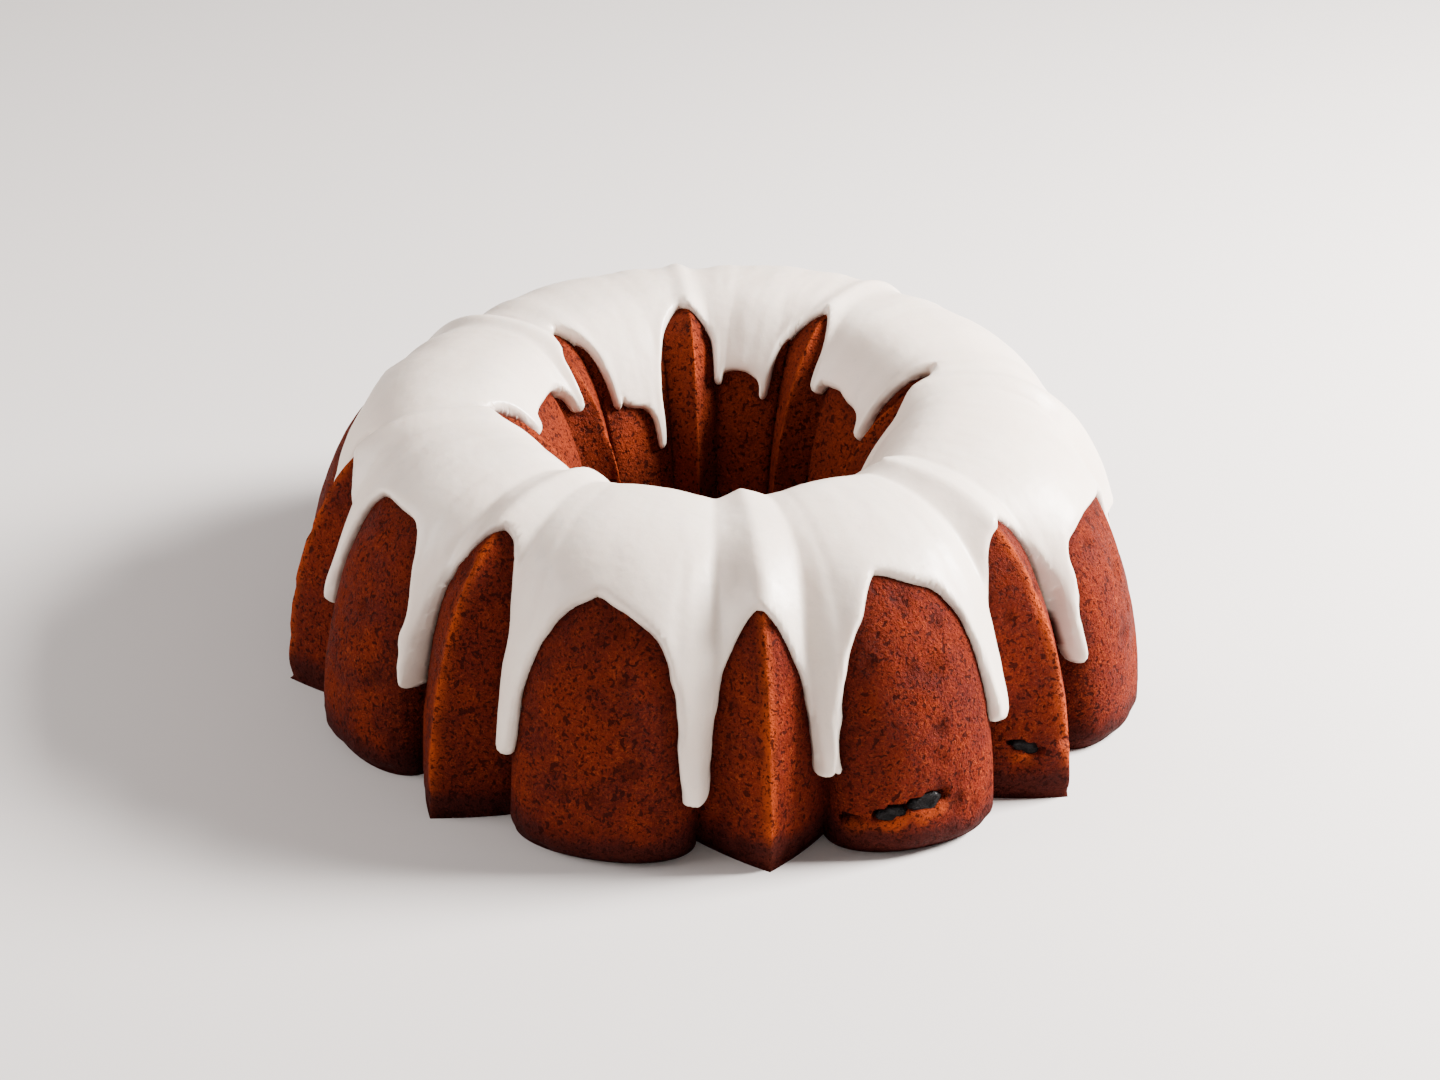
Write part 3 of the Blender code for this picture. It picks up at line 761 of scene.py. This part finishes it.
def run_width(angle):
    """How wide the runs near a place are, 1 for a full run."""
    flute = np.arange(-1, FLUTES + 1)
    halves = OUTER_EDGE.halves[flute % FLUTES].ravel()
    return np.interp(np.mod(angle, 360.0), run_angles(OUTER_EDGE)[0], halves) / RUN_HALF


def filled_shares(angle, turn):
    """Flute shares with the grooves filled by a straight line across, and the sharp ridges eased.

    The line is short where runs hang in the grooves and longer over the top of the ring.
    """
    top = unit(FILL_RISE - np.abs(turn - FILL_TURN) / FILL_SPREAD)
    narrow = FILL_ANGLE * np.minimum(run_width(angle), 1.0)
    fill = narrow + (between_flutes(TOP_FILL, angle) - narrow) * top * top * (3.0 - 2.0 * top)
    point = np.zeros(angle.shape)
    lobe = np.zeros(angle.shape)
    for shift in np.linspace(-RIDGE_EASE, RIDGE_EASE, EASE_STEPS):
        near = angle + shift
        offset = groove_offset(near)
        plain = flute_shares(near)
        across = unit((offset + fill) / (2.0 * fill))
        filled = np.abs(offset) < fill
        point_side = (1.0 - across) * fill / GROOVE_ANGLE
        lobe_side = across * flute_shares(GROOVE_ANGLE + fill)[1]
        point = point + np.where(filled, point_side, plain[0]) / EASE_STEPS
        lobe = lobe + np.where(filled, lobe_side, plain[1]) / EASE_STEPS
    return point, lobe


def icing_columns():
    """Angles round the ring, close together round the grooves where the runs hang."""
    ridge = np.linspace(0.0, FINE_START, RIDGE_COLUMNS + 1)[:-1]
    close = np.arange(FINE_START, GROOVE_ANGLE + FINE_PAST, FINE_COLUMN)
    crest = np.linspace(close[-1], PITCH / 2.0, CREST_COLUMNS + 1)[1:-1]
    return all_round(np.concatenate((ridge, close, crest)))


def icing_streak(angle, turn):
    """Noise from -1 to 1, narrow round the ring and long over it, as the icing flowed."""
    round_way = np.radians(angle)
    flow = np.stack([np.sin(round_way), np.cos(round_way), turn / 180.0 * STREAK_STRETCH], axis=-1)
    return sum(layered_noise(flow, layer) for layer in STREAKS)


def icing_points(angle, turn, gap):
    """Places on the icing's face and on its under side, and how thick it is there, in mm.

    It rises from just under the crust by the quarter circle sqrt(1 - (1 - gap / round)^2) to a coat
    over the filled flutes. The coat is thicker along a bead near its edge, in the runs and at their
    round tips, thinner beside the ridges, and has a slow swell and streaks.
    """
    crust = crust_points(angle, turn)[0]
    filled = filled_shares(angle, turn)
    radius, height = ring_section(angle, turn, filled)
    line = place(angle, radius, height)
    out = outward(angle, turn, filled)
    groove, real = run_angles(OUTER_EDGE)
    straight = np.interp(np.mod(angle, 360.0), real, groove)
    run = np.exp(-(groove_offset(straight) / RUN_REACH) ** 4)
    run = run * unit((RUN_TURN - turn) / RUN_SPAN) * np.minimum(run_width(angle), 1.0) ** 2
    tips = np.where(turn < 90.0, edge_turn(angle, OUTER_EDGE), 0.0)
    tip = run * np.exp(-((turn - tips - TIP_TURN) / TIP_SPAN) ** 2)
    bead = np.exp(-((gap - BEAD_AT) / BEAD_HALF) ** 2) * (1.0 - run)
    swell = sum(layered_noise(line, layer) for layer in SWELLS)
    coat = COAT_MM * (COAT_SHARE + swell - STREAK_SHARE * icing_streak(angle, turn))
    coat = coat + BEAD_MM * bead + RUN_MM * run + TIP_MM * tip
    top = unit((height - TOP_HEIGHT) / TOP_SPAN)
    coat = np.minimum(coat, COAT_MM + EXTRA_MM * (1.0 - top))
    # Thinner left of each crest, where the grey thin tint is painted shade on the side away from the key
    # light.
    beside = np.exp(-((point_offset(angle) + THIN_ASIDE) / THIN_HALF) ** 2)
    coat = coat * (1.0 - THIN_SHARE * beside * unit((height - CREST_HEIGHT) / CREST_SPAN))
    face = place(angle, radius + MM * coat * out[0], height + MM * coat * out[1])
    reach = ROUND_MM + RUN_ROUND_MM * run
    ease = np.sqrt(1.0 - (1.0 - unit(gap / reach)) ** 2)[:, None]
    plain_out = outward(angle, turn, flute_shares(angle))
    sink = place(angle, plain_out[0], 0.0 * height)
    sink[:, 2] = plain_out[1]
    under = crust - MM * UNDER_MM * sink
    points = under * (1.0 - ease) + face * ease
    thickness = np.linalg.norm(points - crust, axis=1) / MM
    return points, under, thickness


def make_icing(material):
    """The icing: a skin of triangles on a grid of angles and turns, cut where its edge runs.

    The skin is cut at the edge and along a few lines beside it, so that its rounding is even. An
    under side with the same triangles lies just under the crust's surface and closes it.
    """
    angles = icing_columns()
    bands = [even_turns(*band) for band in ICING_BANDS]
    turns = np.concatenate([band[:-1] for band in bands[:-1]] + bands[-1:])
    angle, turn = [part.ravel() for part in np.meshgrid(angles, turns, indexing="ij")]
    params = np.stack([angle, turn, icing_gap(angle, turn)], axis=1)
    quads = grid_faces(len(angles), len(turns), False)
    faces = np.concatenate((quads[:, [0, 1, 2]], quads[:, [0, 2, 3]]))
    faces = faces[(params[faces, 2] > 0.0).any(axis=1)]
    for level in EDGE_LINES:
        params, faces = split_faces(params, faces, level)
        if level == 0.0:
            faces = faces[(params[faces, 2] >= 0.0).all(axis=1)]
    used, faces = np.unique(faces, return_inverse=True)
    faces = faces.reshape(-1, 3)
    params = params[used]
    points, under, thickness = icing_points(params[:, 0], params[:, 1], params[:, 2])
    below = np.where(params[:, 2] == 0.0, np.arange(len(params)), np.arange(len(params)) + len(params))
    faces = np.concatenate((faces, below[faces][:, ::-1]))
    points = np.concatenate((points, under))
    kept, faces = np.unique(faces, return_inverse=True)
    streak = icing_streak(params[:, 0], params[:, 1])
    attributes = [("thick", np.tile(thickness, 2)[kept]), ("streak", np.tile(streak, 2)[kept])]
    coat = mesh_piece("icing_coat", points[kept], faces.reshape(-1, 3), material, attributes)
    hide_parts("icing")
    return coat


def make_berry(index, berry, frame_at, material):
    """A burst, baked berry: a wrinkled ellipsoid whose face has fallen in, its poles single points.

    The radius is 1 plus value noise, and the outward half is lowered by a bell in the middle.
    """
    around = np.radians(np.linspace(0.0, 360.0, BERRY_COLUMNS, endpoint=False))
    rows = np.radians(np.linspace(0.0, 180.0, BERRY_ROWS + 2))
    over, way = np.meshgrid(rows[1:-1], around, indexing="ij")
    ball = np.stack([np.sin(over) * np.cos(way), np.sin(over) * np.sin(way), np.cos(over)], axis=-1)
    ball = np.concatenate(([[0.0, 0.0, 1.0]], ball.reshape(-1, 3), [[0.0, 0.0, -1.0]]))
    wrinkles = BERRY_WRINKLES._replace(seed=BERRY_WRINKLES.seed + index)
    size = 1.0 + layered_noise(ball + BERRY_APART * index, BERRY_LUMPS) + layered_noise(ball, wrinkles)
    shape = ball * size[:, None]
    middle = np.hypot(shape[:, 0], shape[:, 1])
    dip = 1.0 - DIP_DEPTH * np.exp(-(middle / DIP_HALF) ** 2)
    shape[:, 2] *= np.where(shape[:, 2] > 0.0, dip, 1.0)
    centre, axes = frame_at
    half = np.array([berry.length, berry.width, berry.depth]) * 0.5
    points = centre - BERRY_DROP * axes[2] + (shape * half) @ axes
    ring = 1 + np.arange(BERRY_ROWS)[:, None] * BERRY_COLUMNS + np.arange(BERRY_COLUMNS)[None, :]
    beside = np.roll(ring, -1, axis=1)
    top = np.stack([np.zeros(BERRY_COLUMNS, int), ring[0], beside[0]], axis=1)
    end = np.stack([ring[-1], np.full(BERRY_COLUMNS, len(ball) - 1), beside[-1]], axis=1)
    left = np.stack([ring[:-1], ring[1:], beside[1:]], axis=-1).reshape(-1, 3)
    right = np.stack([ring[:-1], beside[1:], beside[:-1]], axis=-1).reshape(-1, 3)
    faces = np.concatenate((top, left, right, end))
    piece = mesh_piece(f"burst_berry_{index}", points, faces, material)
    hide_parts(f"berry_{index}")
    return piece


def add_node(tree, kind, values=(), **settings):
    """Add a shader node, set its fields, and set or link its inputs."""
    made = tree.nodes.new(kind)
    for key, value in settings.items():
        setattr(made, key, value)
    for socket, value in values:
        if isinstance(value, bpy.types.NodeSocket):
            tree.links.new(value, made.inputs[socket])
        else:
            made.inputs[socket].default_value = value
    return made


def noise(tree, where, scale, detail=3.0, roughness=0.55, distortion=0.0):
    """The factor of a noise texture."""
    made = add_node(tree, "ShaderNodeTexNoise", [("Vector", where), ("Scale", scale), ("Detail", detail),
                                                 ("Roughness", roughness), ("Distortion", distortion)])
    return made.outputs["Fac"]


def ramp(tree, value, low, high, start=0.0, end=1.0):
    """A value from low to high turned smoothly into one from start to end."""
    made = add_node(tree, "ShaderNodeMapRange", [(0, value), (1, low), (2, high), (3, start), (4, end)],
                    interpolation_type="SMOOTHSTEP")
    return made.outputs["Result"]


def sums(tree, operation, first, second):
    """One step of arithmetic, kept from 0 to 1."""
    made = add_node(tree, "ShaderNodeMath", [(0, first), (1, second)], operation=operation, use_clamp=True)
    return made.outputs["Value"]


def plain_sum(tree, operation, first, second=0.0):
    """One step of arithmetic with no limits."""
    made = add_node(tree, "ShaderNodeMath", [(0, first), (1, second)], operation=operation)
    return made.outputs["Value"]


def blend(tree, share, first, second):
    """One colour mixed with another."""
    made = add_node(tree, "ShaderNodeMix", [(0, share), (6, first), (7, second)], data_type="RGBA")
    return made.outputs[2]


def tint(tree, colour, value, share, over):
    """A colour mixed with another where a value is high, by that share at most."""
    return blend(tree, sums(tree, "MULTIPLY", value, share), colour, over)


def attribute(tree, name):
    """The value of a piece's own attribute."""
    return add_node(tree, "ShaderNodeAttribute", attribute_name=name).outputs["Fac"]


def grain_group():
    """Crumb at a given size: uneven open pores, fine grain and thin raised folds, with its height."""
    tree = bpy.data.node_groups.new("crumb grain", "ShaderNodeTree")
    tree.interface.new_socket("Coordinates", in_out="INPUT", socket_type="NodeSocketVector")
    for key in ("Scale", "Openness"):
        tree.interface.new_socket(key, in_out="INPUT", socket_type="NodeSocketFloat")
    for key in ("Grain", "Pores", "Net", "Height"):
        tree.interface.new_socket(key, in_out="OUTPUT", socket_type="NodeSocketFloat")
    given = tree.nodes.new("NodeGroupInput")
    result = tree.nodes.new("NodeGroupOutput")
    where = given.outputs["Coordinates"]
    wide, close, fine, dots = [plain_sum(tree, "MULTIPLY", given.outputs["Scale"], share)
                               for share in GRAIN_SCALES]
    open_to = given.outputs["Openness"]
    open_from = plain_sum(tree, "SUBTRACT", open_to, PORE_RIM)
    large = ramp(tree, noise(tree, where, wide, 1.0, 0.5, 0.3), open_from, open_to, 1.0, 0.0)
    small = ramp(tree, noise(tree, where, dots, 1.0, 0.5, 0.3), open_from, open_to, SMALL_PORES, 0.0)
    pores = sums(tree, "MAXIMUM", large, small)
    grain = noise(tree, where, fine, 3.0, 0.6)
    folds = noise(tree, where, close, 1.0, 0.5, 1.2)
    away = plain_sum(tree, "ABSOLUTE", plain_sum(tree, "SUBTRACT", folds, 0.5))
    net = ramp(tree, away, 0.0, NET_HALF, 1.0, 0.0)
    rise = sums(tree, "ADD", ramp(tree, grain, 0.2, 0.8, 0.35, 0.75), sums(tree, "MULTIPLY", net, NET_RISE))
    height = sums(tree, "SUBTRACT", rise, sums(tree, "MULTIPLY", pores, PORE_DEPTH))
    for key, value in (("Grain", grain), ("Pores", pores), ("Net", net), ("Height", height)):
        tree.links.new(value, result.inputs[key])
    return tree


def add_grain(tree, grain_tree, where, scale, openness):
    """The crumb grain at a scale, with more open pores the higher its openness is."""
    values = [("Coordinates", where), ("Scale", scale), ("Openness", openness)]
    return add_node(tree, "ShaderNodeGroup", values, node_tree=grain_tree)


def new_material(name, values):
    """A material whose Principled shader has these values, its tree and object coordinates."""
    material = bpy.data.materials.new(name)
    material.use_nodes = True
    tree = material.node_tree
    shader = tree.nodes["Principled BSDF"]
    for socket, value in values.items():
        shader.inputs[socket].default_value = value
    where = tree.nodes.new("ShaderNodeTexCoord").outputs["Object"]
    return material, tree, shader, where


def add_bump(tree, shader, height, distance, strength=1.0, under=None):
    """Bumps on the shader's normal from a height, over earlier bumps if given."""
    values = [("Height", height), ("Distance", distance), ("Strength", strength)]
    if under is not None:
        values.append(("Normal", under))
    made = add_node(tree, "ShaderNodeBump", values).outputs["Normal"]
    tree.links.new(made, shader.inputs["Normal"])
    return made


def crust_material(grain_tree):
    """Baked crust: mottled brown with a dusty foot, orange ridges as painted highlight, and painted shade
    that darkens the pores, pits, grooves, craters and the icing's edge.
    """
    values = {"Roughness": 0.8, "Specular IOR Level": 0.04}
    material, tree, shader, where = new_material("baked crust", values)
    grain = add_grain(tree, grain_tree, where, 195.0, 0.394)
    mottle = noise(tree, where, MOTTLE_SCALE, 5.0, 0.6, 0.4)
    cloud = noise(tree, where, CLOUD_SCALE, 2.0)
    colour = blend(tree, ramp(tree, mottle, 0.36, 0.66), CRUST_DARK, CRUST_LIGHT)
    colour = blend(tree, ramp(tree, cloud, 0.40, 0.68, 0.0, CLOUD_SHARE), colour, CRUST_RED)
    patchy = ramp(tree, mottle, 0.30, 0.60, 0.45, 1.0)
    # Painted highlight along the pointed ridges, patchy with the mottle.
    colour = blend(tree, sums(tree, "MULTIPLY", attribute(tree, "ridge"), patchy), colour, CRUST_HIGHLIGHT_AND_FLESH)
    # Painted shade in the grooves.
    colour = tint(tree, colour, attribute(tree, "groove"), GROOVE_SHADE_SHARE, CRUST_GROOVE_SHADE)
    colour = tint(tree, colour, attribute(tree, "inside"), INSIDE_SHARE, CRUST_INSIDE)
    colour = tint(tree, colour, attribute(tree, "flesh"), FLESH_SHARE, CRUST_HIGHLIGHT_AND_FLESH)
    speck = ramp(tree, grain.outputs["Grain"], 0.48, 0.70, 0.0, SPECK_SHARE)
    colour = blend(tree, speck, colour, CRUST_CRUMB)
    height = add_node(tree, "ShaderNodeSeparateXYZ", [("Vector", where)]).outputs["Z"]
    rag = sums(tree, "MULTIPLY", noise(tree, where, RAG_SCALE, 3.0), RAG_HEIGHT)
    low = plain_sum(tree, "SUBTRACT", height, rag)
    rough = sums(tree, "MULTIPLY", ramp(tree, low, 0.004, 0.010), ramp(tree, low, 0.030, 0.065, 1.0, 0.6))
    rough = sums(tree, "MULTIPLY", rough, ramp(tree, mottle, 0.3, 0.6))
    net = sums(tree, "MULTIPLY", grain.outputs["Net"], rough)
    colour = tint(tree, colour, net, NET_SHARE, CRUST_CRUMB)
    colour = blend(tree, ramp(tree, low, 0.001, 0.007, FOOT_SHARE, 0.0), colour, CRUST_FOOT)
    # Painted shade in the pores and pits.
    pores = sums(tree, "MULTIPLY", grain.outputs["Pores"], PORE_SHADE_SHARE)
    pit_shade = sums(tree, "MULTIPLY", attribute(tree, "pit_shade"), PIT_SHADE_SHARE)
    colour = blend(tree, sums(tree, "MAXIMUM", pores, pit_shade), colour, CRUST_PIT_SHADE)
    # Painted shade inside the torn craters.
    colour = tint(tree, colour, attribute(tree, "torn"), CRATER_SHADE_SHARE, CRUST_CRATER_SHADE)
    # Painted shade along the icing's edge.
    colour = tint(tree, colour, attribute(tree, "edge_shade"), EDGE_SHADE_SHARE, CRUST_EDGE_SHADE)
    tree.links.new(colour, shader.inputs["Base Color"])
    tree.links.new(ramp(tree, mottle, 0.3, 0.7, 0.62, 0.88), shader.inputs["Roughness"])
    coarse = add_bump(tree, shader, noise(tree, where, 260.0, 4.0, 0.6), 0.0011, 0.8)
    add_bump(tree, shader, grain.outputs["Height"], 0.0007, 1.0, coarse)
    return material


def icing_material(grain_tree):
    """White sugar icing: a soft sheen, grey and warm where it is thin, where the crust shows through and,
    left of the crests, as painted shade; faint grain on its face.
    """
    values = {"Roughness": 0.4, "Subsurface Weight": 0.25, "Subsurface Radius": (0.9, 0.75, 0.6),
              "Subsurface Scale": 0.0025}
    material, tree, shader, where = new_material("sugar icing", values)
    grain = add_grain(tree, grain_tree, where, 110.0, 0.36)
    patch = noise(tree, where, PATCH_SCALE, 3.0, 0.5, 0.3)
    colour = blend(tree, ramp(tree, patch, 0.35, 0.65), ICING_WHITE, ICING_COOL)
    streak = ramp(tree, attribute(tree, "streak"), -0.25, 0.45, 0.30, 1.0)
    # Grey where the icing is thin: the crust showing through, and painted shade left of the crests.
    thin_and_shade = sums(tree, "MULTIPLY", ramp(tree, attribute(tree, "thick"), 1.1, 2.2, 0.9, 0.10), streak)
    colour = blend(tree, thin_and_shade, colour, ICING_THIN_AND_SHADE)
    colour = tint(tree, colour, grain.outputs["Pores"], ICING_SPECK_SHARE, ICING_SPECK)
    tree.links.new(colour, shader.inputs["Base Color"])
    tree.links.new(ramp(tree, patch, 0.3, 0.7, 0.30, 0.48), shader.inputs["Roughness"])
    slow = add_bump(tree, shader, noise(tree, where, 90.0, 2.0), 0.0012, 0.35)
    add_bump(tree, shader, noise(tree, where, 480.0, 3.0), 0.0002, 0.35, slow)
    return material


def berry_material(grain_tree):
    """Baked berry skin: near black with a faint grey bloom and a wet gloss."""
    values = {"Roughness": 0.25, "Specular IOR Level": 0.05, "Coat Weight": 0.05, "Coat Roughness": 0.08}
    material, tree, shader, where = new_material("berry skin", values)
    grain = add_grain(tree, grain_tree, where, 300.0, 0.42)
    bloom = noise(tree, where, BLOOM_SCALE, 3.0, 0.6, 0.8)
    colour = blend(tree, ramp(tree, bloom, 0.42, 0.66), BERRY_DARK, BERRY_BLOOM)
    tree.links.new(colour, shader.inputs["Base Color"])
    tree.links.new(ramp(tree, bloom, 0.35, 0.70, 0.30, 0.60), shader.inputs["Roughness"])
    add_bump(tree, shader, grain.outputs["Height"], 0.0005, 0.8)
    return material


def make_floor():
    """A plain pale floor under the cake."""
    material = new_material("pale floor", {"Base Color": FLOOR_COLOUR, "Roughness": 0.7})[0]
    mesh = bpy.data.meshes.new("floor")
    corners = FLOOR_HALF * np.array([(-1, -1, 0), (1, -1, 0), (1, 1, 0), (-1, 1, 0)])
    mesh.from_pydata(corners.tolist(), [], [(0, 1, 2, 3)])
    mesh.materials.append(material)
    add_object("floor", mesh)


def make_light(name, place_at, size, power, colour):
    """A square area light that faces the middle of the cake."""
    data = bpy.data.lights.new(name, "AREA")
    data.size = size
    data.energy = power
    data.color = colour
    light = add_object(name, data)
    light.location = place_at
    aim = Vector(LIGHT_AIM) - Vector(place_at)
    light.rotation_euler = aim.to_track_quat("-Z", "Y").to_euler()


def make_world():
    """An even pale surround."""
    world = bpy.data.worlds.new("surround")
    world.use_nodes = True
    background = world.node_tree.nodes["Background"]
    background.inputs["Color"].default_value = WORLD_COLOUR
    background.inputs["Strength"].default_value = WORLD_STRENGTH
    bpy.context.scene.world = world


def make_camera():
    """The camera at the photograph's angle."""
    data = bpy.data.cameras.new("camera")
    data.sensor_width = 36.0
    data.lens = CAMERA_LENS
    data.clip_start = 0.01
    data.clip_end = 20.0
    camera = add_object("camera", data)
    camera.location = CAMERA_PLACE
    camera.rotation_euler = [math.radians(turn) for turn in CAMERA_TURNS]
    bpy.context.scene.camera = camera


grain_tree = grain_group()
make_crust(crust_material(grain_tree))
make_icing(icing_material(grain_tree))
skin = berry_material(grain_tree)
for number, (berry, frame_at) in enumerate(zip(BERRIES, berry_frames(BERRIES)), start=1):
    make_berry(number, berry, frame_at, skin)
make_floor()
make_world()
make_light("key", place_at=(0.84, 0.02, 0.58), size=0.34, power=72.0, colour=(1.0, 0.97, 0.94))
make_light("fill", place_at=(-0.88, -0.05, 0.50), size=0.6, power=8.0, colour=(1.0, 0.95, 0.93))
make_camera()
